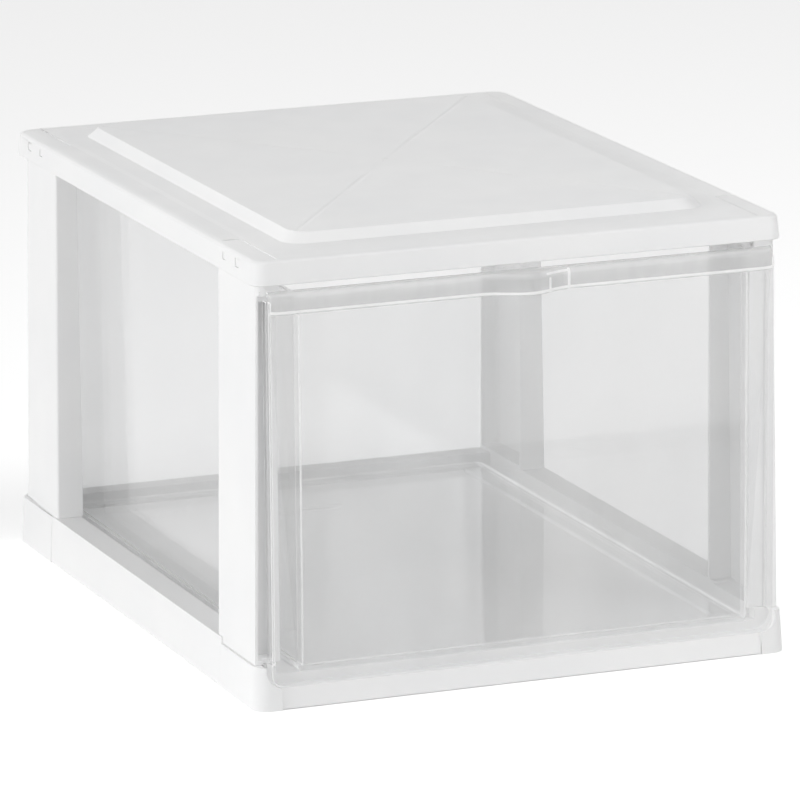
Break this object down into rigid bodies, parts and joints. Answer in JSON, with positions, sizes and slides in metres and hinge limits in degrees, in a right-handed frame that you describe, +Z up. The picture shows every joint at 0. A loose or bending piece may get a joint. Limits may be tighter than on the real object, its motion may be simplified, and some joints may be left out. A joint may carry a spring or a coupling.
{
  "type": "stackable drawer box",
  "caption": "Stackable storage box: a white frame of top panel, base and corner posts around a clear drawer that slides out to the front, with a finger tab on its lip.",
  "frame": {"origin": "on the table, under the middle of the whole box, the drawer's finger tab included", "axes": "+X to the right seen from the front, +Y to the back, +Z up; the drawer slides out along -Y"},
  "size_m": [0.306, 0.4072, 0.2482],
  "materials": {
    "white_plastic": "satin, moulded",
    "clear_plastic": "polished, see-through"
  },
  "bodies": {
    "frame": {"top_panel": "white_plastic", "base_frame": "white_plastic", "post_front_left": "white_plastic", "post_front_right": "white_plastic", "post_back_left": "white_plastic", "post_back_right": "white_plastic"},
    "drawer": {"drawer": "clear_plastic"}
  },
  "joints": [
    {"name": "drawer_slide", "type": "slide", "parent": "frame", "child": "drawer", "axis": [0, -1, 0], "range_m": [0, 0.3]}
  ]
}
